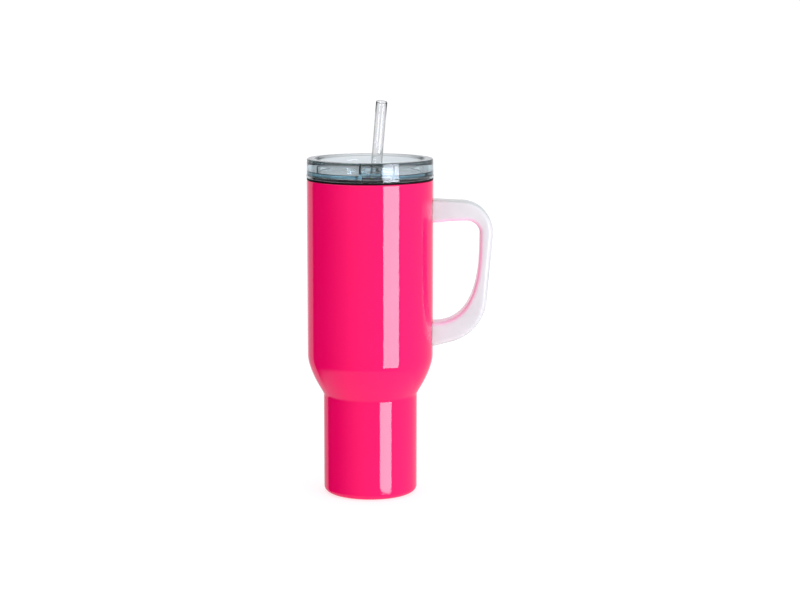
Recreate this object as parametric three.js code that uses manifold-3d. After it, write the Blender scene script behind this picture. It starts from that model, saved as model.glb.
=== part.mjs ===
// A vacuum insulated travel tumbler of about 1.2 litres, with a moulded side handle, a clear press-in lid with
// a slide closure, and a drinking straw. Millimetres, +Z up. The origin is the centre of the foot, on the table,
// and the handle points along +X. The drinking side of the lid faces -Y, turned a little towards the handle.
import * as THREE from "three";
import { mergeVertices } from "three/addons/utils/BufferGeometryUtils.js";
import Module from "manifold-3d";

const wasm = await Module();
wasm.setup();

// ---- Driving dimensions ----
const BODY_R = 49; // outside of the wide upper barrel
const FOOT_R = 36.65; // outside of the narrow lower barrel, which fits a cup holder
const SHOULDER_TOP = 110.5; // height where the shoulder runs into the upper barrel
const SHELL_TOP = 246.4; // top edge of the painted shell
const FOOT_LIFT = 0.4; // the shell's foot stays this far off the table, on the base pad
const SHELL_WALL = 0.8;
const LINER_WALL = 0.6;
const VACUUM_GAP = 2.2;
const FLOOR = 9.5; // inside floor of the cup
const RIM_TOP = 246.4; // top of the welded steel rim

const LID_BOTTOM = 247.9; // underside of the lid's skirt
const LID_TOP = 262.7;
const DECK_TOP = 252.3; // floor of the dish in the lid
const DECK_BOTTOM = 249.9;
const PLUG_BOTTOM = 236;
const LID_TURN = THREE.MathUtils.degToRad(8); // how far the drinking side is turned about +Z

const SLIDER_TRAVEL = 20.3;
const SLIDER_HALF = 11; // half width of the closure
const GUIDE_IN = 11.4; // inner face of the walls that flank the closure
const GUIDE_OUT = 12.7;
const RAIL_TOP = 256.1;

const STRAW_R = 4.3;
const STRAW_BORE = 3.5;
const STRAW_FOOT = new THREE.Vector3(-15.8, 23.0, 11.2);
const STRAW_AT_DECK = new THREE.Vector3(4.6, -30.2, 252.0);
const STRAW_LENGTH = 305.4;

const HANDLE_WIDTH = 21;
const HANDLE_EDGE = 3.2; // rounding of the handle's long edges
const MOUNT_X = 56; // the handle screws stand at this distance from the cup's axis

const FIT = 0.3; // gap left between pieces that touch
const ROUND = 48; // facets round a turned piece
const TAU = 2 * Math.PI;

// ---- Shape helpers ----
const at = (x, y) => new THREE.Vector2(x, y);

// Points of an arc from one angle to another, in degrees.
function arc(x, y, radius, from, to, steps) {
  const points = [];
  for (let i = 0; i <= steps; i++) {
    const a = THREE.MathUtils.degToRad(from + ((to - from) * i) / steps);
    points.push(at(x + radius * Math.cos(a), y + radius * Math.sin(a)));
  }
  return points;
}

// A polyline whose inner corners are rounded. Each corner is [x, y, radius, steps].
function rounded(corners) {
  const points = [];
  corners.forEach(([x, y, radius = 0, steps = 4], i) => {
    if (!radius) {
      points.push(at(x, y));
      return;
    }
    const here = at(x, y);
    const back = at(...corners[i - 1].slice(0, 2)).sub(here).normalize();
    const ahead = at(...corners[i + 1].slice(0, 2)).sub(here).normalize();
    const half = Math.acos(THREE.MathUtils.clamp(back.dot(ahead), -1, 1)) / 2;
    const middle = back.clone().add(ahead).normalize();
    const centre = here.clone().addScaledVector(middle, radius / Math.sin(half));
    const reach = radius / Math.tan(half);
    const first = here.clone().addScaledVector(back, reach).sub(centre);
    const last = here.clone().addScaledVector(ahead, reach).sub(centre);
    const start = first.angle();
    let turn = last.angle() - start;
    if (turn > Math.PI) turn -= TAU;
    if (turn < -Math.PI) turn += TAU;
    for (let s = 0; s <= steps; s++) {
      const a = start + (turn * s) / steps;
      points.push(at(centre.x + radius * Math.cos(a), centre.y + radius * Math.sin(a)));
    }
  });
  return points;
}

// Turns an outline of (radius, height) points about the Z axis.
function turned(outline, segments = ROUND) {
  return new THREE.LatheGeometry(outline, segments).rotateX(Math.PI / 2);
}

const closed = (outline) => [...outline, outline[0]];

// A cylinder that stands on Z from one height to another.
function upright(radius, from, to, segments = 24, x = 0, y = 0) {
  return new THREE.CylinderGeometry(radius, radius, to - from, segments)
    .rotateX(Math.PI / 2)
    .translate(x, y, (from + to) / 2);
}

// A box given by its low and high corners.
function block(low, high) {
  const size = low.map((v, i) => high[i] - v);
  const middle = low.map((v, i) => (high[i] + v) / 2);
  return new THREE.BoxGeometry(...size).translate(...middle);
}

// An outline in plan, raised from one height to another.
function plate(outline, from, to) {
  const options = { depth: to - from, bevelEnabled: false };
  return new THREE.ExtrudeGeometry(new THREE.Shape(outline), options).translate(0, 0, from);
}

// An outline of (x, z) points, extruded along Y and centred on it.
function sideways(outline, width, edge = 0, edgeSteps = 3) {
  const options = {
    depth: width - 2 * edge,
    bevelEnabled: edge > 0,
    bevelThickness: edge,
    bevelSize: edge,
    bevelOffset: -edge,
    bevelSegments: edgeSteps,
  };
  return new THREE.ExtrudeGeometry(new THREE.Shape(outline), options)
    .rotateX(Math.PI / 2)
    .translate(0, width / 2 - edge, 0);
}

// ---- Joining and cutting ----
function solid(geometry) {
  const bare = geometry.clone();
  bare.deleteAttribute("normal");
  bare.deleteAttribute("uv");
  const merged = mergeVertices(bare, 1e-4);
  const vertProperties = new Float32Array(merged.attributes.position.array);
  const triVerts = new Uint32Array(merged.index.array);
  return new wasm.Manifold(new wasm.Mesh({ numProp: 3, vertProperties, triVerts }));
}

function geometryOf(made) {
  const mesh = made.getMesh();
  const geometry = new THREE.BufferGeometry();
  geometry.setAttribute("position", new THREE.BufferAttribute(new Float32Array(mesh.vertProperties), 3));
  geometry.setIndex(new THREE.BufferAttribute(new Uint32Array(mesh.triVerts), 1));
  geometry.computeVertexNormals();
  return geometry;
}

function cut(geometry, ...tools) {
  return geometryOf(tools.reduce((left, tool) => left.subtract(solid(tool)), solid(geometry)));
}

function join(geometry, ...others) {
  return geometryOf(others.reduce((left, other) => left.add(solid(other)), solid(geometry)));
}

// ---- Materials ----
function finish(color, roughness, metalness, opacity = 1) {
  return new THREE.MeshStandardMaterial({ color, roughness, metalness, opacity, transparent: opacity < 1 });
}

const PINK_PAINT = finish(0xf0146e, 0.12, 0.0);
const STEEL = finish(0xb9bcc0, 0.3, 1.0);
const COPPER = finish(0xc98457, 0.35, 1.0);
const GREY_RUBBER = finish(0x4c4d50, 0.75, 0.0);
const BLACK_SILICONE = finish(0x101113, 0.6, 0.0);
const CLEAR_SILICONE = finish(0xdfe6ea, 0.45, 0.0, 0.6);
const SMOKE_CLEAR = finish(0x9fb0b8, 0.05, 0.0, 0.35);
const STRAW_CLEAR = finish(0xe6e8ea, 0.05, 0.0, 0.35);
const FROSTED_CLEAR = finish(0xf4eef1, 0.35, 0.0, 0.8);
const GLASS_SOLDER = finish(0x5d6a4c, 0.25, 0.0);
const GETTER_GREY = finish(0x6b6a68, 0.85, 0.2);

// ---- The cup ----
// The outside of the cup from the lower barrel up over the shoulder, moved inwards by a distance. A small hollow
// fillet leads into a cone, and two arcs of falling radius bring the cone upright at the upper barrel.
function wallLine(inset, from, to) {
  const cone = 30; // degrees from upright
  const middle = 17;
  const deg = THREE.MathUtils.degToRad;
  const upper = 30; // radius of the arc below the barrel
  const lower = 75;
  const fillet = 5;
  const upperX = BODY_R - upper;
  const a = at(upperX + upper * Math.cos(deg(middle)), SHOULDER_TOP - upper * Math.sin(deg(middle)));
  const lowerX = a.x - lower * Math.cos(deg(middle));
  const lowerZ = a.y + lower * Math.sin(deg(middle));
  const b = at(lowerX + lower * Math.cos(deg(cone)), lowerZ - lower * Math.sin(deg(cone)));
  const crease = b.y - (b.x - FOOT_R) / Math.tan(deg(cone));
  const filletZ = crease - fillet * Math.tan(deg(cone) / 2);
  return [
    at(FOOT_R - inset, from),
    ...arc(FOOT_R + fillet, filletZ, fillet + inset, 180, 180 - cone, 3),
    ...arc(lowerX, lowerZ, lower - inset, -cone, -middle, 3),
    ...arc(upperX, SHOULDER_TOP, upper - inset, -middle, 0, 4).slice(1),
    at(BODY_R - inset, to),
  ];
}

// One drawn steel wall: rounded under the foot, curled up inside the base recess, and turned in at the top.
function outerShell() {
  const round = 4.5; // rounding under the foot
  const inner = round - SHELL_WALL;
  const foot = FOOT_LIFT;
  const curl = FOOT_R - round - 1.15;
  const outside = [
    at(curl, 3.4),
    at(curl, foot + 0.8),
    at(curl + 0.35, foot),
    ...arc(FOOT_R - round, foot + round, round, -90, 0, 4),
    ...wallLine(0, foot + round, SHELL_TOP - 1).slice(1),
    ...arc(BODY_R - 1, SHELL_TOP - 1, 1, 0, 90, 3).slice(1),
    at(BODY_R - 1.7, SHELL_TOP),
  ];
  const inside = [
    at(curl + SHELL_WALL, 3.4),
    at(curl + SHELL_WALL, foot + SHELL_WALL + 0.3),
    ...arc(FOOT_R - round, foot + round, inner, -90, 0, 4),
    ...wallLine(SHELL_WALL, foot + round, SHELL_TOP - 1.4).slice(1),
    at(BODY_R - 1.7, SHELL_TOP - 0.8),
  ];
  return turned(closed([...outside, ...inside.reverse()]));
}

// The drinking vessel itself, with its floor and a lip that is welded to the shell.
function innerLiner() {
  const outer = SHELL_WALL + VACUUM_GAP;
  const inner = outer + LINER_WALL;
  const corner = 4; // rounding between wall and floor
  const lipZ = RIM_TOP - 2.7;
  const outside = [
    at(0, FLOOR - LINER_WALL),
    ...arc(FOOT_R - inner - corner, FLOOR + corner, corner + LINER_WALL, -90, 0, 3),
    ...wallLine(outer, FLOOR + corner, lipZ).slice(1),
    at(BODY_R - outer + 0.2, lipZ + 1.2),
    at(BODY_R - 2, RIM_TOP - 0.7),
    at(BODY_R - 2, RIM_TOP),
  ];
  const inside = [
    at(0, FLOOR),
    ...arc(FOOT_R - inner - corner, FLOOR + corner, corner, -90, 0, 3),
    ...wallLine(inner, FLOOR + corner, lipZ).slice(1),
    at(BODY_R - inner + 0.2, RIM_TOP),
  ];
  return turned([...outside, ...inside.reverse()]);
}

// A pressed steel disc that closes the bottom of the shell. Air is drawn out through the small central hole.
function basePlate() {
  return turned(
    closed([
      at(30.7, 2.7),
      at(30.7, 3.4),
      at(24, 3.4),
      at(23, 4.6),
      at(5.2, 4.6),
      at(4.6, 5.4),
      at(1, 5.4),
      at(1, 4.7),
      at(4.1, 4.7),
      at(4.7, 3.9),
      at(22.5, 3.9),
      at(23.5, 2.7),
    ]),
  );
}

const basePad = () => turned([at(0, 0), at(29.6, 0), at(30.2, 0.5), at(30.2, 2.4), at(0, 2.4)]);

const vacuumSeal = () => turned([at(0, 3.5), at(1.6, 3.6), at(3, 4), at(3.6, 4.6), at(0, 4.6)], 24);

const GETTER_X = 13.5;

const getterPellet = () => upright(3.5, 4.9, 7.1, 24, GETTER_X);

// A spot-welded steel strap that holds the getter down on the base plate.
function getterClip() {
  const strap = [
    at(-7.5, 4.9),
    at(-3.8, 4.9),
    at(-3.8, 7.4),
    at(3.8, 7.4),
    at(3.8, 4.9),
    at(7.5, 4.9),
    at(7.5, 5.2),
    at(4.1, 5.2),
    at(4.1, 7.7),
    at(-4.1, 7.7),
    at(-4.1, 5.2),
    at(-7.5, 5.2),
  ];
  return sideways(strap, 4).translate(GETTER_X, 0, 0);
}

// A turn of foil round the liner, open along a narrow seam opposite the handle.
function copperFoil() {
  const wrap = turned(closed([at(46.35, 116), at(46.6, 116), at(46.6, 238), at(46.35, 238)]));
  return cut(wrap, block([-60, -1.5, 110], [-30, 1.5, 245]));
}

// ---- The handle and its fixings ----
const UPPER_ARM = { socket: [217.2, 228.8], seat: 216.25, head: 214.6, plug: 213.6 };
const LOWER_ARM = { socket: [123.2, 134.0], seat: 122.2, head: 120.55, plug: 119.5 };
const SOCKET_HALF = 6.4;
const SOCKET_END = 62.5;
const HEAD_H = 1.5;

// The side outline of the handle: a D with a long leaning grip and a sweeping lower corner.
function handleOutline() {
  const outside = rounded([
    [40, 231.4],
    [97.05, 229.0, 24.4, 6],
    [88.05, 126.74, 36, 6],
    [40, 114.75],
  ]);
  const reach = new THREE.CubicBezierCurve(at(50, 135.5), at(77, 135.6), at(84.6, 163), at(84.8, 196));
  const inside = rounded([
    [84.8, 196],
    [85.2, 215.5, 10.5, 4],
    [57, 214.6, 24, 2],
    [40, 207.6],
  ]);
  return [...outside, at(40, 135.5), ...reach.getPoints(9), ...inside.slice(1)];
}

function handle() {
  const body = sideways(handleOutline(), HANDLE_WIDTH, HANDLE_EDGE);
  const tools = [upright(BODY_R + FIT, 100, 240, 96)];
  for (const { socket, seat } of [UPPER_ARM, LOWER_ARM]) {
    const half = SOCKET_HALF;
    tools.push(block([40, -half, socket[0]], [SOCKET_END, half, socket[1]]));
    tools.push(upright(1.8, seat - 1, socket[0] + 1, 16, MOUNT_X));
    tools.push(upright(3, seat - 8, seat, 20, MOUNT_X));
  }
  return cut(body, ...tools);
}

// A block with a curved foot that is welded to the shell and reaches into one end of the handle.
function bracket({ socket }) {
  const slack = 0.4;
  const half = SOCKET_HALF - slack;
  const low = socket[0] + slack;
  const high = socket[1] - slack;
  const tongue = block([44, -half, low], [SOCKET_END - slack, half, high]);
  return cut(
    tongue,
    upright(BODY_R + FIT, low - 5, high + 5, 96),
    upright(1.75, low - 1, high - 1.6, 16, MOUNT_X),
    block([52, -half - 1, low + 7.4], [54, half + 1, high + 1]),
  );
}

// A button-head screw with a hexagon socket, driven upwards into its bracket.
function screw({ socket, head }) {
  const top = socket[0] + 8;
  const shank = turned(
    [
      at(0, head),
      at(2, head),
      at(2.6, head + 0.6),
      at(2.6, head + HEAD_H),
      at(1.5, head + HEAD_H),
      at(1.5, top - 0.5),
      at(1, top),
      at(0, top),
    ],
    20,
  ).translate(MOUNT_X, 0, 0);
  return cut(shank, upright(1.15, head - 1, head + 0.9, 6, MOUNT_X));
}

const screwPlug = ({ plug }) =>
  turned([at(0, plug), at(2.4, plug), at(2.8, plug + 0.3), at(2.8, plug + 0.8), at(0, plug + 0.8)], 20).translate(
    MOUNT_X,
    0,
    0,
  );

// ---- The lid, in its own frame with the drinking side at -Y ----
const DISH_R = 40.5; // the dish's wall, which is upright below and leans out near the top
const PLUG_R = 43.3;
const PLUG_BORE = 39.4;
const MOUTH_FRONT = 39.2; // the drinking mouth reaches out to this radius
const MOUTH_BACK = -21.5;
const MOUTH_HALF = 10.4;
const GUIDE_BACK = 22;
const COLLAR_OUT = 45.9; // the flange seal's collar, in the groove between plug and skirt
const COLLAR_TOP = 249.5;

// A thick ring with a low bead round its foot, a dish with a flat deck, and a hollow plug with a groove for the
// gasket. A second groove, between plug and skirt, takes the flange seal's collar.
function lidRing() {
  const side = 48.8;
  return turned([
    at(0, DECK_BOTTOM),
    at(PLUG_BORE, DECK_BOTTOM),
    at(PLUG_BORE + 0.3, PLUG_BOTTOM),
    at(42.1, PLUG_BOTTOM),
    at(42.7, PLUG_BOTTOM + 0.6),
    at(42.7, 238),
    at(41.3, 238),
    at(41.3, 244),
    at(PLUG_R, 244),
    at(PLUG_R, COLLAR_TOP + FIT),
    at(COLLAR_OUT + FIT, COLLAR_TOP + FIT),
    at(COLLAR_OUT + FIT, LID_BOTTOM),
    at(48.65, LID_BOTTOM),
    at(49.25, LID_BOTTOM + 0.6),
    at(49.25, 250),
    at(side + 0.15, 250.3),
    at(side, 258),
    ...arc(side - 0.9, LID_TOP - 0.9, 0.9, 0, 90, 3),
    at(43.1, LID_TOP),
    at(42.5, LID_TOP - 1.1),
    at(41.4, 259.4),
    at(DISH_R + 0.2, 257.6),
    at(DISH_R, 256),
    at(DISH_R, DECK_TOP + 0.8),
    at(DISH_R - 0.8, DECK_TOP),
    at(0, DECK_TOP),
  ]);
}

// One side wall of the closure's track: a tall cheek beside the mouth that falls back to a low rail, and a lip
// over the closure. Side is +1 or -1.
function guide(side) {
  const across = (from, to) => [Math.min(side * from, side * to), Math.max(side * from, side * to)];
  const [inner, outer] = across(GUIDE_IN, GUIDE_OUT);
  const [tip, root] = across(GUIDE_IN - 1.2, GUIDE_IN + 0.5);
  const cheek = [
    at(-42.2, DECK_TOP - 1),
    at(-42.2, 260.4),
    at(-41.6, 261),
    at(-36.3, 260.2),
    at(-31.2, 258.6),
    at(-25.7, 256.9),
    at(-19, RAIL_TOP),
    at(GUIDE_BACK, RAIL_TOP),
    at(GUIDE_BACK, DECK_TOP - 1),
  ];
  const wall = new THREE.ExtrudeGeometry(new THREE.Shape(cheek), { depth: outer - inner, bevelEnabled: false });
  // The cheek's (y, z) outline is drawn in plan, so it is turned upright and laid across X.
  wall.applyMatrix4(
    new THREE.Matrix4().makeBasis(
      new THREE.Vector3(0, 1, 0),
      new THREE.Vector3(0, 0, 1),
      new THREE.Vector3(1, 0, 0),
    ),
  );
  wall.translate(inner, 0, 0);
  const lip = block([tip, -19, RAIL_TOP - 1.1], [root, GUIDE_BACK, RAIL_TOP]);
  return [wall, lip];
}

function lidShell() {
  const stop = block([-GUIDE_IN - 0.4, 14.7, DECK_TOP - 0.5], [GUIDE_IN + 0.4, 16.2, DECK_TOP + 1.8]);
  const filled = join(lidRing(), stop, ...guide(1), ...guide(-1));
  const mouthBox = block([-MOUTH_HALF, -60, DECK_BOTTOM - 1], [MOUTH_HALF, MOUTH_BACK, DECK_TOP + 0.4]);
  const reach = upright(MOUTH_FRONT, DECK_BOTTOM - 2, DECK_TOP + 1, 96);
  const mouth = geometryOf(solid(mouthBox).intersect(solid(reach)));
  const vent = upright(1.25, DECK_BOTTOM - 1, DECK_TOP + 1, 16, 0, 30);
  return cut(filled, mouth, vent);
}

// A silicone ring with two sealing fins, in the plug's groove.
function lidGasket() {
  return turned(
    closed([
      at(41.6, 238.3),
      at(43.2, 238.3),
      at(45, 239.2),
      at(43.4, 240),
      at(43.4, 241.2),
      at(45, 242.1),
      at(43.2, 243.7),
      at(41.6, 243.7),
    ]),
  );
}

// A soft ring that the skirt presses on the steel rim. Its collar stands in the groove beside the plug.
function flangeSeal() {
  const low = RIM_TOP + FIT;
  const high = LID_BOTTOM - FIT;
  const inside = PLUG_R + FIT;
  return turned(
    closed([
      at(inside, low),
      at(48.6, low),
      at(48.6, high),
      at(COLLAR_OUT, high),
      at(COLLAR_OUT, COLLAR_TOP),
      at(inside, COLLAR_TOP),
    ]),
  );
}

// A flat tongue with a finger block. The deep notch in its front closes round the straw.
function slider() {
  const bottom = DECK_TOP + FIT;
  const top = bottom + 2;
  const front = 39.9; // radius of the leading edge, about the lid's axis when closed
  const notch = 6.4;
  const notchY = -10.8;
  const edge = (x) => SLIDER_TRAVEL - Math.sqrt(front * front - x * x);
  const outline = [
    at(SLIDER_HALF, edge(SLIDER_HALF)),
    at(SLIDER_HALF, 14),
    at(-SLIDER_HALF, 14),
    at(-SLIDER_HALF, edge(SLIDER_HALF)),
    at(-9, edge(9)),
    at(-notch, edge(notch)),
    ...arc(0, notchY, notch, 180, 0, 8),
    at(notch, edge(notch)),
    at(9, edge(9)),
  ];
  const tongue = plate(outline, bottom, top);
  const grip = block([-9.4, -3.4, top - 0.5], [9.4, 12.6, top + 1.5]);
  const ridges = [0, 1, 2, 3, 4].map((i) => {
    const y = -2.6 + 3.6 * i;
    return block([-9.4, y - 0.7, top + 1], [9.4, y + 0.7, top + 2.5]);
  });
  return join(tongue, grip, ...ridges);
}

// ---- The straw ----
function straw() {
  const tube = cut(upright(STRAW_R, 0, STRAW_LENGTH, 24), upright(STRAW_BORE, -1, STRAW_LENGTH + 1, 24));
  const along = STRAW_AT_DECK.clone().sub(STRAW_FOOT).normalize();
  const lean = new THREE.Quaternion().setFromUnitVectors(new THREE.Vector3(0, 0, 1), along);
  return tube.applyQuaternion(lean).translate(...STRAW_FOOT.toArray());
}

// ---- The assembly ----
function piece(name, geometry, material) {
  const mesh = new THREE.Mesh(geometry, material);
  mesh.name = name;
  return mesh;
}

const cup = new THREE.Group();
cup.add(
  piece("outer_shell", outerShell(), PINK_PAINT),
  piece("inner_liner", innerLiner(), STEEL),
  piece("base_plate", basePlate(), STEEL),
  piece("base_pad", basePad(), GREY_RUBBER),
  piece("vacuum_seal", vacuumSeal(), GLASS_SOLDER),
  piece("getter_pellet", getterPellet(), GETTER_GREY),
  piece("getter_clip", getterClip(), STEEL),
  piece("copper_foil", copperFoil(), COPPER),
  piece("handle", handle(), FROSTED_CLEAR),
);
for (const [name, arm] of [
  ["upper", UPPER_ARM],
  ["lower", LOWER_ARM],
]) {
  cup.add(
    piece(`${name}_bracket`, bracket(arm), STEEL),
    piece(`${name}_screw`, screw(arm), STEEL),
    piece(`${name}_screw_plug`, screwPlug(arm), CLEAR_SILICONE),
  );
}

const lid = new THREE.Group();
lid.rotation.z = LID_TURN;
lid.add(
  piece("lid_shell", lidShell(), SMOKE_CLEAR),
  piece("lid_gasket", lidGasket(), CLEAR_SILICONE),
  piece("flange_seal", flangeSeal(), BLACK_SILICONE),
  piece("slider", slider(), SMOKE_CLEAR),
);

const tumbler = new THREE.Group();
tumbler.add(cup, lid, piece("straw", straw(), STRAW_CLEAR));

export default tumbler;
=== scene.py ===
"""The looks of a vacuum insulated tumbler with a side handle, a clear lid with a slide closure, and a straw.

Every visible piece is rebuilt finely round its CAD node, in the same place. Lengths are in millimetres in the
outlines, and become metres where a mesh is made.
"""

import math

import bmesh
import bpy
from mathutils import Matrix, Vector


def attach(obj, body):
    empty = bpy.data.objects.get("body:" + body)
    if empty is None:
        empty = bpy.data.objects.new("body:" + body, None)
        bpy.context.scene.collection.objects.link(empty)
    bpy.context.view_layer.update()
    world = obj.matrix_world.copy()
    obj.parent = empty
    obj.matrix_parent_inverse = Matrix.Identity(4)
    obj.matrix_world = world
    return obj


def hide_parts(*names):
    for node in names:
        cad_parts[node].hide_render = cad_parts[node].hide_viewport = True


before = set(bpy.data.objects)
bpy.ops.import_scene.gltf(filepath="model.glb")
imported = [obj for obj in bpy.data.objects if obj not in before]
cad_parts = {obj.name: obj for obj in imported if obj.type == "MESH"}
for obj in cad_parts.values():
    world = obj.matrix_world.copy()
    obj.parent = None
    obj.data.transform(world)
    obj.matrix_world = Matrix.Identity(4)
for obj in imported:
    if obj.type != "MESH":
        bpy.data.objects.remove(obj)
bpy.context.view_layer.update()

MM = 0.001
TURN = Matrix.Rotation(math.radians(8), 4, "Z")  # how far the lid's drinking side is turned
STILL = Matrix.Identity(4)


# ---- Camera ----
LENS = 88.28  # focal length for a 36 mm wide sensor
CAMERA_AT = (0.02293, -1.51079, 0.38897)
LOOK_DOWN = 8.914  # degrees below level
ROLL = -0.06


def make_camera():
    data = bpy.data.cameras.new("camera")
    data.sensor_width = 36.0
    data.lens = LENS
    data.clip_start = 0.05
    data.clip_end = 400.0
    obj = bpy.data.objects.new("camera", data)
    obj.location = CAMERA_AT
    obj.rotation_euler = (math.radians(90 - LOOK_DOWN), math.radians(ROLL), 0.0)
    bpy.context.scene.collection.objects.link(obj)
    bpy.context.scene.camera = obj


make_camera()


# ---- Outlines ----
def arc(x, y, radius, start, end, steps):
    points = []
    for i in range(steps + 1):
        a = math.radians(start + (end - start) * i / steps)
        points.append((x + radius * math.cos(a), y + radius * math.sin(a)))
    return points


def rounded(corners, steps=6):
    """A polyline whose corners (x, y, radius) are rounded. A corner with no radius stays sharp."""
    points = []
    for i, corner in enumerate(corners):
        here = Vector(corner[:2])
        if len(corner) < 3 or not corner[2]:
            points.append(tuple(here))
            continue
        radius = corner[2]
        count = corner[3] if len(corner) > 3 else steps
        back = (Vector(corners[i - 1][:2]) - here).normalized()
        ahead = (Vector(corners[(i + 1) % len(corners)][:2]) - here).normalized()
        half = math.acos(max(-1.0, min(1.0, back.dot(ahead)))) / 2
        centre = here + (back + ahead).normalized() * (radius / math.sin(half))
        reach = radius / math.tan(half)
        first = here + back * reach - centre
        last = here + ahead * reach - centre
        begin = math.atan2(first.y, first.x)
        turn = math.atan2(last.y, last.x) - begin
        turn = (turn + math.pi) % (2 * math.pi) - math.pi
        for s in range(count + 1):
            a = begin + turn * s / count
            points.append((centre.x + radius * math.cos(a), centre.y + radius * math.sin(a)))
    return points


def bezier(a, b, c, d, steps):
    points = []
    for i in range(steps + 1):
        t = i / steps
        u = 1 - t
        points.append(
            tuple(
                u**3 * a[k] + 3 * u * u * t * b[k] + 3 * u * t * t * c[k] + t**3 * d[k]
                for k in range(2)
            )
        )
    return points


def resampled(points, count):
    """The same polyline with evenly spaced points."""
    lengths = [0.0]
    for a, b in zip(points, points[1:]):
        lengths.append(lengths[-1] + math.dist(a, b))
    out, k = [], 0
    for i in range(count):
        want = lengths[-1] * i / (count - 1)
        while k < len(points) - 2 and lengths[k + 1] < want:
            k += 1
        span = max(lengths[k + 1] - lengths[k], 1e-9)
        t = (want - lengths[k]) / span
        a, b = points[k], points[k + 1]
        out.append((a[0] + (b[0] - a[0]) * t, a[1] + (b[1] - a[1]) * t))
    return out


# ---- Meshes ----
def piece(name, bm, material, place=STILL, angle=32.0):
    """Makes an object of a bmesh in millimetres, turned to its place and smoothed except at real edges."""
    bmesh.ops.remove_doubles(bm, verts=bm.verts, dist=1e-4)
    bmesh.ops.recalc_face_normals(bm, faces=bm.faces)
    mesh = bpy.data.meshes.new(name)
    bm.to_mesh(mesh)
    bm.free()
    mesh.transform(place @ Matrix.Scale(MM, 4))
    obj = bpy.data.objects.new(name, mesh)
    bpy.context.scene.collection.objects.link(obj)
    finish_mesh(obj, material, angle)
    return obj


def finish_mesh(obj, material, angle=32.0):
    mesh = obj.data
    for polygon in mesh.polygons:
        polygon.use_smooth = True
    mesh.set_sharp_from_angle(angle=math.radians(angle))
    mesh.materials.clear()
    if material:
        mesh.materials.append(material)


def lathe(outline, segments=180):
    """Turns (radius, height) points about Z. An outline that starts and ends on the axis is closed there."""
    bm = bmesh.new()
    rings = []
    for r, z in outline:
        if abs(r) < 1e-6:
            rings.append([bm.verts.new((0, 0, z))])
        else:
            rings.append(
                [
                    bm.verts.new(
                        (
                            r * math.cos(2 * math.pi * i / segments),
                            r * math.sin(2 * math.pi * i / segments),
                            z,
                        )
                    )
                    for i in range(segments)
                ]
            )
    on_axis = len(rings[0]) == 1 and len(rings[-1]) == 1
    pairs = list(zip(rings, rings[1:]))
    if not on_axis:
        pairs.append((rings[-1], rings[0]))
    for a, b in pairs:
        for i in range(segments):
            j = (i + 1) % segments
            if len(a) == 1 and len(b) == 1:
                continue
            if len(a) == 1:
                bm.faces.new((a[0], b[j], b[i]))
            elif len(b) == 1:
                bm.faces.new((a[i], a[j], b[0]))
            else:
                bm.faces.new((a[i], a[j], b[j], b[i]))
    return bm


def prism(outline, low, high, frame_matrix=STILL):
    """Raises a flat outline from low to high along its own normal, then places it."""
    bm = bmesh.new()
    bottom = [bm.verts.new((x, y, low)) for x, y in outline]
    top = [bm.verts.new((x, y, high)) for x, y in outline]
    bm.faces.new(bottom[::-1])
    bm.faces.new(top)
    count = len(outline)
    for i in range(count):
        j = (i + 1) % count
        bm.faces.new((bottom[i], bottom[j], top[j], top[i]))
    bm.transform(frame_matrix)
    bmesh.ops.recalc_face_normals(bm, faces=bm.faces)
    return bm


def brick(low, high):
    outline = [(low[0], low[1]), (high[0], low[1]), (high[0], high[1]), (low[0], high[1])]
    return prism(outline, low[2], high[2])


def rod(radius, low, high, x=0.0, y=0.0, segments=64):
    points = [
        (x + radius * math.cos(2 * math.pi * i / segments), y + radius * math.sin(2 * math.pi * i / segments))
        for i in range(segments)
    ]
    return prism(points, low, high)


def settled(obj):
    """Applies an object's modifiers to its mesh."""
    graph = bpy.context.evaluated_depsgraph_get()
    graph.update()
    mesh = bpy.data.meshes.new_from_object(obj.evaluated_get(graph))
    old = obj.data
    obj.modifiers.clear()
    obj.data = mesh
    bpy.data.meshes.remove(old)
    return obj


def combine(obj, operation, *tools):
    """Joins to an object, or cuts from it, solids given as bmeshes in its own millimetre frame."""
    for tool in tools:
        other = piece("tool", tool, None)
        modifier = obj.modifiers.new("boolean", "BOOLEAN")
        modifier.operation = operation
        modifier.solver = "EXACT"
        modifier.object = other
        settled(obj)
        bpy.data.objects.remove(other)
    return obj


def eased(obj, width, angle=40.0, segments=2):
    """Rounds the real edges of an object a little, as a mould does."""
    modifier = obj.modifiers.new("bevel", "BEVEL")
    modifier.width = width * MM
    modifier.segments = segments
    modifier.limit_method = "ANGLE"
    modifier.angle_limit = math.radians(angle)
    modifier.use_clamp_overlap = True
    modifier.miter_outer = "MITER_ARC"
    return settled(obj)


def evened(obj):
    """Weights the normals by area, so that a broad wall stays true beside the small rounding at its edge."""
    modifier = obj.modifiers.new("normals", "WEIGHTED_NORMAL")
    modifier.mode = "FACE_AREA"
    modifier.weight = 90
    modifier.keep_sharp = True
    return settled(obj)


def place(obj, body, node, slot):
    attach(obj, body)
    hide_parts(node)
    return obj


# ---- Materials ----
def feed(tree, socket, value):
    """Links a socket's source to it, or sets its value."""
    if isinstance(value, bpy.types.NodeSocket):
        tree.links.new(value, socket)
    else:
        socket.default_value = value


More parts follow.
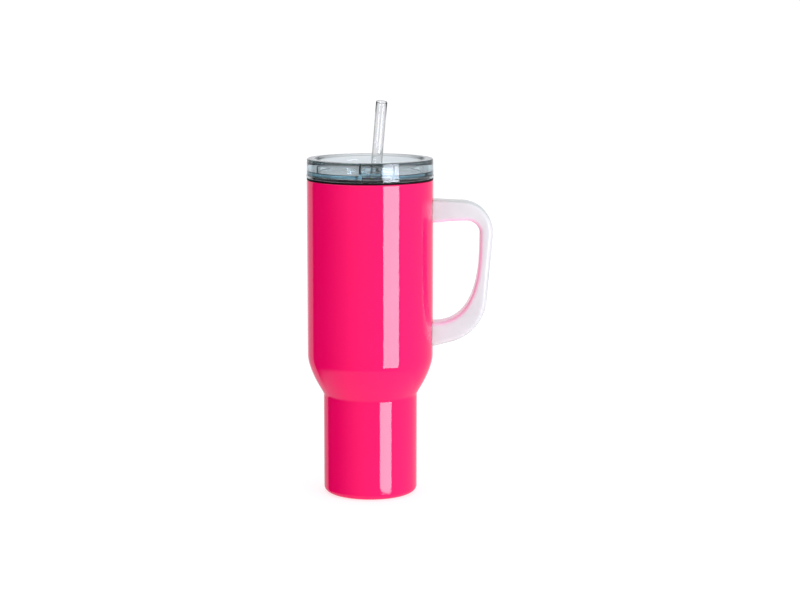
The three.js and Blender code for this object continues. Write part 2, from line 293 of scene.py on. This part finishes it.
class Shader:
    """A short way to write a node material."""

    def __init__(self, name):
        self.material = bpy.data.materials.new(name)
        self.material.use_nodes = True
        self.tree = self.material.node_tree
        self.tree.nodes.clear()
        self.output = self.tree.nodes.new("ShaderNodeOutputMaterial")
        self.body = self.tree.nodes.new("ShaderNodeBsdfPrincipled")
        self.tree.links.new(self.body.outputs["BSDF"], self.output.inputs["Surface"])
        coordinates = self.tree.nodes.new("ShaderNodeTexCoord")
        self.place = coordinates.outputs["Object"]
        self.facing = coordinates.outputs["Normal"]

    def set(self, **values):
        for name, value in values.items():
            self.body.inputs[name.replace("_", " ")].default_value = value

    def link(self, source, name):
        self.tree.links.new(source, self.body.inputs[name])

    def node(self, kind, **inputs):
        made = self.tree.nodes.new("ShaderNode" + kind)
        for name, value in inputs.items():
            feed(self.tree, made.inputs[name.replace("_", " ")], value)
        return made

    def scaled(self, x, y, z):
        mapping = self.node("Mapping", Vector=self.place)
        mapping.inputs["Scale"].default_value = (x, y, z)
        return mapping.outputs["Vector"]

    def noise(self, vector, scale, detail, roughness=0.55):
        made = self.node("TexNoise", Vector=vector, Scale=scale, Detail=detail, Roughness=roughness)
        return made.outputs["Fac"]

    def ranged(self, value, low, high, to_low, to_high):
        made = self.node("MapRange", Value=value)
        made.inputs["From Min"].default_value = low
        made.inputs["From Max"].default_value = high
        made.inputs["To Min"].default_value = to_low
        made.inputs["To Max"].default_value = to_high
        return made.outputs["Result"]

    def mixed(self, factor, first, second):
        made = self.tree.nodes.new("ShaderNodeMix")
        made.data_type = "RGBA"
        # A mix node's factor, two colours and result are these sockets.
        for index, value in ((0, factor), (6, first), (7, second)):
            feed(self.tree, made.inputs[index], value)
        return made.outputs[2]

    def maths(self, operation, first, second):
        made = self.tree.nodes.new("ShaderNodeMath")
        made.operation = operation
        for socket, value in zip(made.inputs, (first, second)):
            feed(self.tree, socket, value)
        return made.outputs[0]

    def vectors(self, operation, first, second=(0, 0, 0)):
        made = self.tree.nodes.new("ShaderNodeVectorMath")
        made.operation = operation
        for socket, value in zip(made.inputs, (first, second)):
            feed(self.tree, socket, value)
        return made.outputs["Value" if operation == "DOT_PRODUCT" else "Vector"]

    def height(self):
        return self.node("SeparateXYZ", Vector=self.place).outputs["Z"]

    def bump(self, height, distance, under=None):
        made = self.node("Bump", Height=height, Distance=distance, Strength=1.0)
        if under:
            self.tree.links.new(under, made.inputs["Normal"])
        return made.outputs["Normal"]

    def absorb(self, color, density):
        made = self.node("VolumeAbsorption", Color=color, Density=density)
        self.tree.links.new(made.outputs["Volume"], self.output.inputs["Volume"])


def paint():
    s = Shader("pink_paint")
    s.set(Roughness=0.32, IOR=1.5, Coat_Weight=1.0, Coat_Roughness=0.035, Coat_IOR=1.5)
    s.set(Specular_IOR_Level=0.0)
    cloud = s.noise(s.place, 14.0, 2.0)
    pink, light_pink = (0.965, 0.0026, 0.130, 1), (0.975, 0.0034, 0.137, 1)
    base = s.mixed(s.ranged(cloud, 0.35, 0.65, 0.0, 1.0), pink, light_pink)
    # Fine rubbing marks where the foot is set down and slid.
    rub = s.noise(s.scaled(900, 900, 240), 1.0, 4.0, 0.7)
    foot = s.ranged(s.height(), 0.0004, 0.0035, 1.0, 0.0)
    worn = s.maths("MULTIPLY", s.ranged(rub, 0.55, 0.7, 0.0, 0.5), foot)
    s.link(s.mixed(worn, base, (0.80, 0.09, 0.27, 1)), "Base Color")
    s.link(s.maths("ADD", s.ranged(s.noise(s.place, 700.0, 4.0), 0.3, 0.7, 0.28, 0.36), worn), "Roughness")
    peel = s.noise(s.place, 420.0, 2.0, 0.45)
    wave = s.noise(s.place, 46.0, 1.0, 0.4)
    first = s.bump(peel, 0.000012)
    s.link(s.bump(wave, 0.00006, under=first), "Coat Normal")
    s.link(s.bump(s.noise(s.place, 1500.0, 3.0), 0.00001), "Normal")
    return s.material


def brushed_steel(name, along, tint=(0.60, 0.61, 0.62), rough=0.24, metallic=1.0):
    s = Shader(name)
    s.set(Metallic=metallic, Specular_IOR_Level=0.5)
    lines = s.noise(s.scaled(*along), 1.0, 5.0, 0.62)
    pits = s.noise(s.place, 1900.0, 3.0, 0.6)
    dark = (tint[0] * 0.86, tint[1] * 0.86, tint[2] * 0.87, 1)
    s.link(s.mixed(s.ranged(lines, 0.3, 0.7, 0.0, 1.0), dark, (*tint, 1)), "Base Color")
    s.link(s.ranged(pits, 0.25, 0.75, rough * 0.8, rough * 1.3), "Roughness")
    s.link(s.bump(lines, 0.00002, under=s.bump(pits, 0.000006)), "Normal")
    return s.material


def clear_plastic(name, tint, density, rough, ior, grain, swell, depth=0.00003):
    """Grain is the scale of the fine roughness, and swell and depth those of the moulding's slow waves."""
    s = Shader(name)
    s.set(Base_Color=(1, 1, 1, 1), Transmission_Weight=1.0, IOR=ior, Specular_IOR_Level=0.5)
    s.link(s.ranged(s.noise(s.place, grain, 4.0, 0.6), 0.35, 0.75, rough, rough * 2.2 + 0.004), "Roughness")
    s.link(s.bump(s.noise(s.place, swell, 1.5, 0.4), depth), "Normal")
    s.absorb(tint, density)
    return s.material


def frosted():
    s = Shader("frosted_plastic")
    s.set(IOR=1.49, Subsurface_Weight=0.6, Subsurface_Scale=0.004, Subsurface_Radius=(1.0, 0.93, 0.95))
    s.set(Specular_IOR_Level=0.3, Coat_Weight=0.9, Coat_Roughness=0.22)
    cloud = s.noise(s.place, 55.0, 3.0, 0.5)
    milk, light_milk = (0.685, 0.66, 0.672, 1), (0.72, 0.70, 0.708, 1)
    milk = s.mixed(s.ranged(cloud, 0.35, 0.65, 0.0, 1.0), milk, light_milk)
    # The milky plastic carries a painted reflection of the cup's pink on the faces that look into the grip.
    from_middle = s.vectors("MULTIPLY", s.vectors("SUBTRACT", s.place, (0.066, 0.0, 0.178)), (1, 0, 1))
    outwards = s.vectors("DOT_PRODUCT", s.vectors("NORMALIZE", from_middle), s.facing)
    milk = s.mixed(s.ranged(outwards, -0.1, -0.75, 0.0, 1.0), milk, (0.86, 0.60, 0.78, 1))
    # The outward faces are painted a darker grey: painted shade standing in for the dark edges of clear
    # plastic.
    s.link(s.mixed(s.ranged(outwards, 0.6, 0.95, 0.0, 1.0), milk, (0.50, 0.535, 0.52, 1)), "Base Color")
    s.link(s.ranged(s.noise(s.place, 900.0, 4.0, 0.6), 0.3, 0.7, 0.3, 0.42), "Roughness")
    s.link(s.bump(s.noise(s.place, 2600.0, 2.0, 0.6), 0.000012), "Normal")
    return s.material


def soft(name, dark, light, rough, grain, depth, through=0.0, shine=0.45):
    s = Shader(name)
    s.set(IOR=1.43, Specular_IOR_Level=shine)
    if through:
        s.set(Subsurface_Weight=through, Subsurface_Scale=0.004)
    mottle = s.noise(s.place, 160.0, 4.0, 0.6)
    s.link(s.mixed(s.ranged(mottle, 0.35, 0.65, 0.0, 1.0), (*dark, 1), (*light, 1)), "Base Color")
    s.link(s.ranged(s.noise(s.place, grain * 0.6, 3.0), 0.3, 0.7, rough * 0.88, rough * 1.12), "Roughness")
    s.link(s.bump(s.noise(s.place, grain, 3.0, 0.6), depth), "Normal")
    return s.material


def plain_metal(name, dark, light, rough, grain, depth, metallic=1.0):
    s = Shader(name)
    s.set(Metallic=metallic)
    mottle = s.noise(s.place, grain * 0.25, 4.0, 0.65)
    s.link(s.mixed(s.ranged(mottle, 0.35, 0.65, 0.0, 1.0), (*dark, 1), (*light, 1)), "Base Color")
    s.link(s.ranged(s.noise(s.place, grain, 3.0), 0.3, 0.7, rough * 0.85, rough * 1.2), "Roughness")
    s.link(s.bump(s.noise(s.place, grain, 5.0, 0.65), depth), "Normal")
    return s.material


PAINT = paint()
# The liner is made lighter and only half metallic: painted light that brightens the inside of the cup beyond
# what falls into it.
LINER = brushed_steel("spun_steel", (14, 14, 1500), (0.76, 0.77, 0.78), 0.38, 0.5)
STEEL = brushed_steel("plain_steel", (700, 700, 700), rough=0.3)
COPPER = plain_metal("copper_foil_metal", (0.74, 0.36, 0.22), (0.86, 0.46, 0.30), 0.3, 500.0, 0.00006)
GETTER = plain_metal("sintered_metal", (0.10, 0.10, 0.10), (0.19, 0.19, 0.18), 0.8, 1800.0, 0.00008, 0.6)
SOLDER = soft("solder_glass", (0.08, 0.11, 0.06), (0.13, 0.16, 0.09), 0.16, 300.0, 0.00002)
PAD = soft("grey_rubber_pad", (0.062, 0.063, 0.066), (0.085, 0.086, 0.09), 0.72, 1400.0, 0.00005)
# A real seal, but its near-black colour and dull sheen are painted shade for the dark gap between lid and
# cup.
SEAL_AND_PAINTED_GAP_SHADE = soft(
    "black_seal_and_painted_gap_shade", (0.003, 0.003, 0.004), (0.006, 0.006, 0.007), 0.5, 1600.0, 0.00001, shine=0.08
)
GASKET = soft("clear_silicone_gasket", (0.62, 0.66, 0.68), (0.72, 0.76, 0.78), 0.42, 1200.0, 0.00001, 0.8)
SMOKE = (0.20, 0.56, 0.68, 1)  # the tint of the lid and its closure
LID = clear_plastic("smoke_clear_plastic", SMOKE, 20.0, 0.012, 1.56, 500.0, 60.0)
CLOSURE = clear_plastic("closure_clear_plastic", SMOKE, 20.0, 0.03, 1.56, 700.0, 90.0)
# The straw's plastic takes up light far more strongly than clear plastic does: painted shade that darkens the
# clear straw.
STRAW = clear_plastic(
    "straw_plastic_painted_shade", (0.54, 0.565, 0.575, 1), 100.0, 0.03, 1.46, 600.0, 120.0, 0.000001
)
HANDLE = frosted()


# ---- The cup ----
BODY_R = 49.0
FOOT_R = 36.65
SHOULDER_TOP = 110.5
SHELL_TOP = 246.4
SHELL_WALL = 0.8
LINER_WALL = 0.6
VACUUM_GAP = 2.2
FLOOR = 9.5
RIM_TOP = 246.4


def wall_line(inset, start, end):
    """The cup's wall from the lower barrel over the shoulder, moved inwards by a distance."""
    cone, middle = math.radians(30), math.radians(17)
    upper, lower, fillet = 30.0, 75.0, 5.0
    upper_x = BODY_R - upper
    ax = upper_x + upper * math.cos(middle)
    az = SHOULDER_TOP - upper * math.sin(middle)
    lower_x = ax - lower * math.cos(middle)
    lower_z = az + lower * math.sin(middle)
    bx = lower_x + lower * math.cos(cone)
    bz = lower_z - lower * math.sin(cone)
    crease = bz - (bx - FOOT_R) / math.tan(cone)
    fillet_z = crease - fillet * math.tan(cone / 2)
    return [
        (FOOT_R - inset, start),
        *arc(FOOT_R + fillet, fillet_z, fillet + inset, 180, 150, 8),
        *arc(lower_x, lower_z, lower - inset, -30, -17, 10),
        *arc(upper_x, SHOULDER_TOP, upper - inset, -17, 0, 10)[1:],
        (BODY_R - inset, end),
    ]


def stacked(points, step):
    """Adds points to long straight runs so that the faces stay close to square."""
    out = [points[0]]
    for a, b in zip(points, points[1:]):
        count = max(1, round(math.dist(a, b) / step))
        for i in range(1, count + 1):
            t = i / count
            out.append((a[0] + (b[0] - a[0]) * t, a[1] + (b[1] - a[1]) * t))
    return out


def outer_shell():
    turn, foot = 4.5, 0.4
    curl = FOOT_R - turn - 1.15
    outside = [
        (curl, 3.4),
        *rounded([(curl, 3.4), (curl, foot, 0.7), (FOOT_R - turn, foot)], 5)[1:-1],
        *arc(FOOT_R - turn, foot + turn, turn, -90, 0, 12),
        *stacked(wall_line(0, foot + turn, SHELL_TOP - 1.0)[1:], 12),
        *arc(BODY_R - 1.0, SHELL_TOP - 1.0, 1.0, 0, 90, 6)[1:],
        (BODY_R - 1.7, SHELL_TOP),
    ]
    inside = [
        (curl + SHELL_WALL, 3.4),
        (curl + SHELL_WALL, foot + SHELL_WALL + 0.3),
        *arc(FOOT_R - turn, foot + turn, turn - SHELL_WALL, -90, 0, 8),
        *wall_line(SHELL_WALL, foot + turn, SHELL_TOP - 1.4)[1:],
        (BODY_R - 1.7, SHELL_TOP - 0.8),
    ]
    obj = piece("shell", lathe(outside + inside[::-1], 216), PAINT, angle=40)
    return place(obj, "cup", "outer_shell", "pink_paint")


def inner_liner():
    outer = SHELL_WALL + VACUUM_GAP
    inner = outer + LINER_WALL
    corner = 4.0
    lip = RIM_TOP - 2.7
    outside = [
        (0, FLOOR - LINER_WALL),
        *arc(FOOT_R - inner - corner, FLOOR + corner, corner + LINER_WALL, -90, 0, 8),
        *wall_line(outer, FLOOR + corner, lip)[1:],
        (BODY_R - outer + 0.2, lip + 1.2),
        (BODY_R - 2.0, RIM_TOP - 0.7),
        (BODY_R - 2.0, RIM_TOP),
    ]
    inside = [
        (0, FLOOR + 0.5),
        (9.0, FLOOR + 0.5),
        (10.5, FLOOR + 0.1),
        *arc(FOOT_R - inner - corner, FLOOR + corner, corner, -90, 0, 8),
        *stacked(wall_line(inner, FLOOR + corner, lip)[1:], 12),
        (BODY_R - inner + 0.1, RIM_TOP - 0.9),
        (BODY_R - inner + 0.35, RIM_TOP - 0.25),
        (BODY_R - inner + 0.7, RIM_TOP),
    ]
    obj = piece("liner", lathe(outside + inside[::-1], 216), LINER, angle=40)
    return place(obj, "cup", "inner_liner", "steel")


def foot_pad():
    grooves = []
    for r in (27.5, 22.5, 17.5):
        grooves += rounded([(r + 1.2, 0), (r + 0.7, 0.5, 0.2), (r - 0.7, 0.5, 0.2), (r - 1.2, 0)], 3)
    underside = [(0, 0.45), (11.0, 0.45), (11.8, 0.0), *grooves[::-1]]
    outline = [*underside, *rounded([(28.9, 0), (30.2, 0, 0.6), (30.2, 2.4, 0.3), (29, 2.4)], 5), (0, 2.4)]
    obj = piece("pad", lathe(outline, 192), PAD, angle=40)
    return place(obj, "cup", "base_pad", "grey_rubber")


# ---- The handle ----
HANDLE_HALF = 10.5
ARMS = {"upper": {"seat": 216.25, "plug": 213.6}, "lower": {"seat": 122.2, "plug": 119.5}}
SCREW_X = 56.0


def handle():
    """A row of rounded sections along a closed D, each from the outer outline to the nearest inner point."""
    outer = rounded([(40, 231.4), (97.05, 229.0, 24.4, 40), (88.05, 126.74, 36, 40), (40, 114.75)])
    inner = rounded([(40, 207.6), (57, 214.6, 24, 16), (85.2, 215.5, 10.5, 30), (84.8, 196)])
    inner += bezier((84.8, 196), (84.6, 163), (77, 135.6), (50, 135.5), 60)[1:]
    inner.append((40, 135.5))
    outer = resampled(outer, 420)
    inner = resampled(inner, 2400)
    # Each outer point takes the nearest inner point, looked for a short way on from the last one.
    nearest, k = [], 0
    search = 160
    for o in outer:
        window = range(k, min(k + search, len(inner)))
        k = min(window, key=lambda j: math.dist(o, inner[j]))
        nearest.append(k)
    spread = 9  # neighbours on each side that a pairing is averaged over
    smooth = []
    for i in range(len(nearest)):
        near = nearest[max(0, i - spread) : i + spread + 1]
        smooth.append(sum(near) / len(near))
    pairs = []
    for o, s in zip(outer, smooth):
        j = min(int(s), len(inner) - 2)
        t = s - j
        p = tuple(inner[j][c] * (1 - t) + inner[j + 1][c] * t for c in range(2))
        pairs.append((Vector(o), Vector(p)))
    wall = BODY_R + 0.12  # the arms end on the barrel, with a hair's gap
    pairs = [(o, p) for o, p in pairs if min(o.x, p.x) > wall + 0.25][::2]

    edge = 3.3  # rounding of the long edges
    crown = 0.25  # swell of the flat sides
    steps = 7
    flat = HANDLE_HALF - edge
    section = []  # side (1 inner, -1 outer), offset from there, and y
    for sign_e, sign_y, start in ((1, -1, -90), (1, 1, 0), (-1, 1, 90), (-1, -1, 180)):
        for i in range(steps + 1):
            a = math.radians(start + 90 * i / steps)
            section.append((sign_e, edge * math.cos(a), sign_y * flat + edge * math.sin(a)))

    bm = bmesh.new()
    rings = []
    for index, (o, p) in enumerate(pairs):
        middle, half = (o + p) / 2, (p - o).length / 2
        along = (p - o).normalized()
        ring = []
        for sign, offset, y in section:
            e = sign * (half - edge) + offset
            outwards = 1 if y > 0 else -1
            swell = crown * (1 - (e / half) ** 2) * outwards if abs(y) > flat else 0
            q = middle + along * e
            x, depth = q.x, y + swell - crown * outwards
            if index in (0, len(pairs) - 1):
                x = math.sqrt(wall * wall - depth * depth)
            ring.append(bm.verts.new((x, depth, q.y)))
        rings.append(ring)
    count = len(section)
    for a, b in zip(rings, rings[1:]):
        for i in range(count):
            j = (i + 1) % count
            bm.faces.new((a[i], a[j], b[j], b[i]))
    bm.faces.new(rings[0][::-1])
    bm.faces.new(rings[-1])
    obj = piece("grip", bm, None, angle=50)
    tools = [rod(3.0, arm["seat"] - 8, arm["seat"], SCREW_X) for arm in ARMS.values()]
    combine(obj, "DIFFERENCE", *tools)
    finish_mesh(obj, HANDLE, 50)
    return place(obj, "cup", "handle", "frosted_clear")


def screw_plug(name, arm):
    low = arm["plug"]
    outline = [
        (0, low),
        (1.4, low + 0.03),
        *rounded([(1.6, low + 0.04), (2.8, low + 0.12, 0.35), (2.8, low + 0.8)], 5),
        (0, low + 0.8),
    ]
    at_screw = Matrix.Translation((SCREW_X * MM, 0, 0))
    obj = piece(name + "_plug", lathe(outline, 48), GASKET, at_screw, angle=40)
    return place(obj, "cup", name + "_screw_plug", "clear_silicone")


# ---- The lid, in its own frame with the drinking side at -Y, and then turned ----
LID_BOTTOM = 247.9
LID_TOP = 262.7
DECK_TOP = 252.3
DECK_BOTTOM = 249.9
DISH_R = 40.5  # the upright wall of the dish
SIDE_R = 48.8  # the ring's outer wall
BEAD_R = 49.25  # the bead round its foot
GROOVE_R = 46.2  # outside of the groove that takes the flange seal's collar
PLUG_BOTTOM = 236.0
GUIDE_IN = 11.4  # faces of the walls that flank the closure
GUIDE_OUT = 12.7
GUIDE_BACK = 22.0
RAIL_TOP = 256.1
SIDEWAYS = Matrix(((0, 0, 1, 0), (1, 0, 0, 0), (0, 1, 0, 0), (0, 0, 0, 1)))  # (y, z) outlines, raised along X


def between(corners, steps):
    """The rounded corners of a polyline without its two end points, which only give directions."""
    return rounded(corners, steps)[1:-1]


def lid_ring():
    bore, plug, neck, collar = 39.4, 42.7, 41.3, 43.3
    groove_top = 249.8
    outline = [
        (0, DECK_BOTTOM),
        *between(
            [(30, DECK_BOTTOM), (bore, DECK_BOTTOM, 0.8), (39.7, PLUG_BOTTOM, 0.5), (41, PLUG_BOTTOM)], 4
        ),
        *between([(41, PLUG_BOTTOM), (42.4, PLUG_BOTTOM, 0.4), (plug, 238, 0.1), (neck, 238, 0.2)], 3),
        (neck, 238),
        (neck, 244),
        *between(
            [
                (42, 244),
                (collar, 244, 0.25),
                (collar, groove_top, 0.4),
                (GROOVE_R, groove_top, 0.3),
                (GROOVE_R, 248),
            ],
            4,
        ),
        *between(
            [(GROOVE_R, 248), (GROOVE_R, LID_BOTTOM, 0.15), (BEAD_R, LID_BOTTOM, 0.7), (BEAD_R, 249.6)], 4
        ),
        *between([(BEAD_R, 249), (BEAD_R, 250.0, 0.3), (SIDE_R + 0.15, 250.3, 0.3), (SIDE_R, 258)], 4),
        *between([(SIDE_R, 258), (SIDE_R, LID_TOP, 0.9), (42.7, LID_TOP, 0.6), (42.0, LID_TOP - 1.1)], 6),
        *bezier((42.0, LID_TOP - 1.1), (41.1, 260.8), (DISH_R, 259.6), (DISH_R, 257.4), 14),
        *between([(DISH_R, 253.4), (DISH_R, DECK_TOP, 0.9), (36, DECK_TOP)], 6),
        (0, DECK_TOP),
    ]
    return lathe(outline, 192)


def guide_parts(side):
    """A cheek that flanks the closure and falls back to a low rail, and the lip over the closure."""

    def across(a, b):
        return min(side * a, side * b), max(side * a, side * b)

    inner, outer = across(GUIDE_IN, GUIDE_OUT)
    tip, root = across(GUIDE_IN - 1.2, GUIDE_IN + 0.5)
    top = RAIL_TOP
    cheek = [
        (-42.2, DECK_TOP - 1),
        (-42.2, 260.4),
        *bezier((-41.6, 261.0), (-34, 261.0), (-29, top), (-19, top), 14),
        (GUIDE_BACK - 3.8, top),
        *arc(GUIDE_BACK - 3.8, DECK_TOP, 3.8, 90, 0, 6)[1:],
        (GUIDE_BACK, DECK_TOP - 1),
    ]
    return [
        prism(cheek, inner, outer, SIDEWAYS),
        brick((tip, -19, top - 1.1), (root, GUIDE_BACK - 4.2, top)),
    ]


def lid_shell():
    obj = piece("lid", lid_ring(), None)
    stop = brick((-GUIDE_IN - 0.4, 14.7, DECK_TOP - 0.5), (GUIDE_IN + 0.4, 16.2, DECK_TOP + 1.8))
    combine(obj, "UNION", *guide_parts(1), *guide_parts(-1), stop)
    # The drinking mouth: an arc in front, straight sides, and a back edge with rounded corners.
    reach, half, back = 39.2, 10.4, -21.5
    corner = -math.sqrt(reach**2 - half**2)
    front = [(p[0], p[1]) for p in arc(0, 0, reach, -106, -74, 32) if abs(p[0]) < half]
    front = [(-half, corner), *front, (half, corner)]
    outline = rounded([*front, (half, back, 2.5), (-half, back, 2.5)], 6)
    mouth = prism(outline, DECK_BOTTOM - 2, DECK_TOP + 0.4)
    vent = rod(1.25, DECK_BOTTOM - 1, DECK_TOP + 1, 0, 30, 40)
    combine(obj, "DIFFERENCE", mouth, vent)
    eased(obj, 0.22, 50)
    obj.data.transform(TURN)
    finish_mesh(obj, LID, 32)
    return place(evened(obj), "lid", "lid_shell", "smoke_clear")


def slider():
    bottom, travel, half, radius = DECK_TOP + 0.3, 20.3, 11.0, 39.9
    top = bottom + 2
    notch, notch_y = 6.4, -10.8

    def edge(x):
        return travel - math.sqrt(radius * radius - x * x)

    front = [notch + (half - notch) * i / 6 for i in range(7)]
    outline = [(x, edge(x)) for x in front]
    outline += rounded([(half, edge(half)), (half, 14, 1.2), (-half, 14, 1.2), (-half, edge(half))])[1:-1]
    outline += [(-x, edge(x)) for x in front[::-1]]
    outline += arc(0, notch_y, notch, 180, 0, 32)
    obj = piece("closure", prism(outline, bottom, top), None)
    wave = []
    for i in range(5):
        y = -2.6 + 3.6 * i
        foot, crest = top + 1.5, top + 2.6
        ridge = bezier((y - 1.0, foot), (y - 0.75, crest), (y + 0.75, crest), (y + 1.0, foot), 8)
        wave += [(y - 1.3, top + 1.35), *ridge, (y + 1.3, top + 1.35)]
    grip = [(-4.2, top - 0.5), (-4.2, top + 1.0), *wave, (13.4, top + 1.0), (13.4, top - 0.5)]
    combine(obj, "UNION", prism(grip, -9.4, 9.4, SIDEWAYS))
    eased(obj, 0.3, 42)
    obj.data.transform(TURN)
    finish_mesh(obj, CLOSURE, 32)
    return place(evened(obj), "slider", "slider", "smoke_clear")


def lid_gasket():
    outline = rounded(
        [
            (41.6, 238.3, 0.3),
            (43.1, 238.3, 0.4),
            (45, 239.2, 0.22),
            (43.4, 240.1, 0.35),
            (43.4, 241.1, 0.35),
            (45, 242.1, 0.22),
            (43.1, 243.7, 0.4),
            (41.6, 243.7, 0.3),
        ],
        5,
    )
    obj = piece("gasket", lathe(outline, 180), GASKET, angle=40)
    return place(obj, "lid", "lid_gasket", "clear_silicone")


def flange_seal():
    # The seal reaches out to the cup's edge so that its black fills the gap between lid and cup: painted
    # shade as well as the seal.
    low, high, top = 246.45, 247.85, 249.6
    outline = rounded(
        [
            (43.6, low, 0.2),
            (48.9, low, 0.3),
            (48.9, high, 0.3),
            (45.9, high, 0.1),
            (45.9, top, 0.3),
            (43.6, top, 0.3),
        ],
        5,
    )
    obj = piece("flange", lathe(outline, 180), SEAL_AND_PAINTED_GAP_SHADE, angle=40)
    return place(obj, "lid", "flange_seal", "black_silicone")


# ---- The straw ----
def straw():
    foot = Vector((-15.8, 23.0, 11.2))
    deck = Vector((4.6, -30.2, 252.0))
    lean = (deck - foot).normalized().to_track_quat("Z", "Y").to_matrix().to_4x4()
    length, outer, bore = 305.4, 4.3, 3.45
    lip = (outer - bore) / 2
    middle = (outer + bore) / 2
    wall = [(outer, lip + (length - 2 * lip) * i / 24) for i in range(25)]
    hollow = [(bore, lip + (length - 2 * lip) * i / 24) for i in range(24, -1, -1)]
    lower_end = arc(middle, lip, lip, 180, 360, 8)[1:-1]
    upper_end = arc(middle, length - lip, lip, 0, 180, 8)[1:-1]
    outline = [*lower_end, *wall, *upper_end, *hollow]
    obj = piece("straw_tube", lathe(outline, 72), STRAW, Matrix.Translation(foot * MM) @ lean, angle=50)
    return place(obj, "straw", "straw", "straw_clear")


outer_shell()
inner_liner()
foot_pad()
handle()
for arm_name, arm_facts in ARMS.items():
    screw_plug(arm_name, arm_facts)
lid_shell()
slider()
lid_gasket()
flange_seal()
straw()

KEPT_NODES = {
    "base_plate": STEEL,
    "vacuum_seal": SOLDER,
    "getter_pellet": GETTER,
    "getter_clip": STEEL,
    "copper_foil": COPPER,
    "upper_bracket": STEEL,
    "lower_bracket": STEEL,
    "upper_screw": STEEL,
    "lower_screw": STEEL,
}
for node_name, node_material in KEPT_NODES.items():
    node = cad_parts[node_name]
    node.data.materials.clear()
    node.data.materials.append(node_material)


# ---- Studio ----
def make_floor():
    bm = bmesh.new()
    size, level = 150000.0, -0.05  # a hair under the foot pad, so that the two faces don't coincide
    corners = ((-1, -1), (1, -1), (1, 1), (-1, 1))
    bm.faces.new([bm.verts.new((x * size, y * size, level)) for x, y in corners])
    s = Shader("studio_floor")
    s.set(Base_Color=(0.40, 0.40, 0.40, 1), Roughness=0.8, Specular_IOR_Level=0.0)
    s.set(Emission_Color=(1, 1, 1, 1), Emission_Strength=0.70)
    obj = piece("studio_floor", bm, s.material)
    obj.visible_transmission = False
    obj.visible_glossy = False  # gloss on the upright walls shows the studio's lights, as over a clear stand


def make_key(bearing, distance, height, wide, tall, watts, color):
    """A rectangular light, level. Bearing is measured from the front (-Y) towards the handle (+X)."""
    data = bpy.data.lights.new("key", "AREA")
    data.shape = "RECTANGLE"
    data.size, data.size_y = wide, tall
    data.energy = watts
    data.color = color
    obj = bpy.data.objects.new("key", data)
    a = math.radians(bearing)
    obj.location = (distance * math.sin(a), -distance * math.cos(a), height)
    obj.rotation_euler = (Vector((0, 0, height)) - obj.location).to_track_quat("-Z", "Y").to_euler()
    obj.visible_camera = False
    bpy.context.scene.collection.objects.link(obj)


def make_world():
    """A white studio behind, above and below, with dark flats round the camera's side."""
    world = bpy.data.worlds.new("studio")
    bpy.context.scene.world = world
    world.use_nodes = True
    tree = world.node_tree
    tree.nodes.clear()

    def node(kind):
        return tree.nodes.new("ShaderNode" + kind)

    def maths(operation, first, second):
        made = node("Math")
        made.operation = operation
        for socket, value in zip(made.inputs, (first, second)):
            feed(tree, socket, value)
        return made.outputs[0]

    def step(value, low, high, strength):
        made = node("MapRange")
        made.interpolation_type = "SMOOTHSTEP"
        tree.links.new(value, made.inputs["Value"])
        made.inputs["From Min"].default_value = low
        made.inputs["From Max"].default_value = high
        made.inputs["To Max"].default_value = strength
        return made.outputs["Result"]

    direction = node("SeparateXYZ")
    tree.links.new(node("TexCoord").outputs["Generated"], direction.inputs[0])
    x, y, z = direction.outputs["X"], direction.outputs["Y"], direction.outputs["Z"]
    bearing = maths("ARCTAN2", x, maths("MULTIPLY", y, -1.0))  # from the front towards the handle
    side = maths(
        "ADD",
        step(bearing, math.radians(-95), math.radians(-5), 0.33),
        step(bearing, math.radians(24), math.radians(60), 0.15),
    )
    back = maths("ADD", step(y, 0.58, 0.64, 0.54), step(y, 0.86, 0.92, 0.34))
    top = step(z, 0.50, 0.66, 1.3)
    bottom = step(maths("MULTIPLY", z, -1.0), 0.42, 0.62, 0.58)
    level = maths("MAXIMUM", maths("MAXIMUM", side, back), maths("MAXIMUM", top, bottom))
    path = node("LightPath")
    # Seen from the sides, clear plastic has the white backdrop behind it too.
    sideways = step(maths("ABSOLUTE", x, 0.0), 0.80, 0.92, 0.40)
    through = maths("MULTIPLY", path.outputs["Is Transmission Ray"], sideways)
    level = maths("MAXIMUM", level, through)
    lit = node("Background")
    lit.inputs["Color"].default_value = (0.99, 1.0, 1.03, 1)
    tree.links.new(level, lit.inputs["Strength"])
    seen = node("Background")
    seen.inputs["Color"].default_value = (1, 1, 1, 1)
    mix = node("MixShader")
    tree.links.new(path.outputs["Is Camera Ray"], mix.inputs[0])
    tree.links.new(lit.outputs[0], mix.inputs[1])
    tree.links.new(seen.outputs[0], mix.inputs[2])
    output = node("OutputWorld")
    tree.links.new(mix.outputs[0], output.inputs["Surface"])


make_floor()
make_key(38.5, 0.9, 0.0, 0.465, 0.56, 6.9, (0.96, 1.0, 1.12))
make_world()

view = bpy.context.scene.view_settings
view.view_transform = "Standard"
view.look = "None"
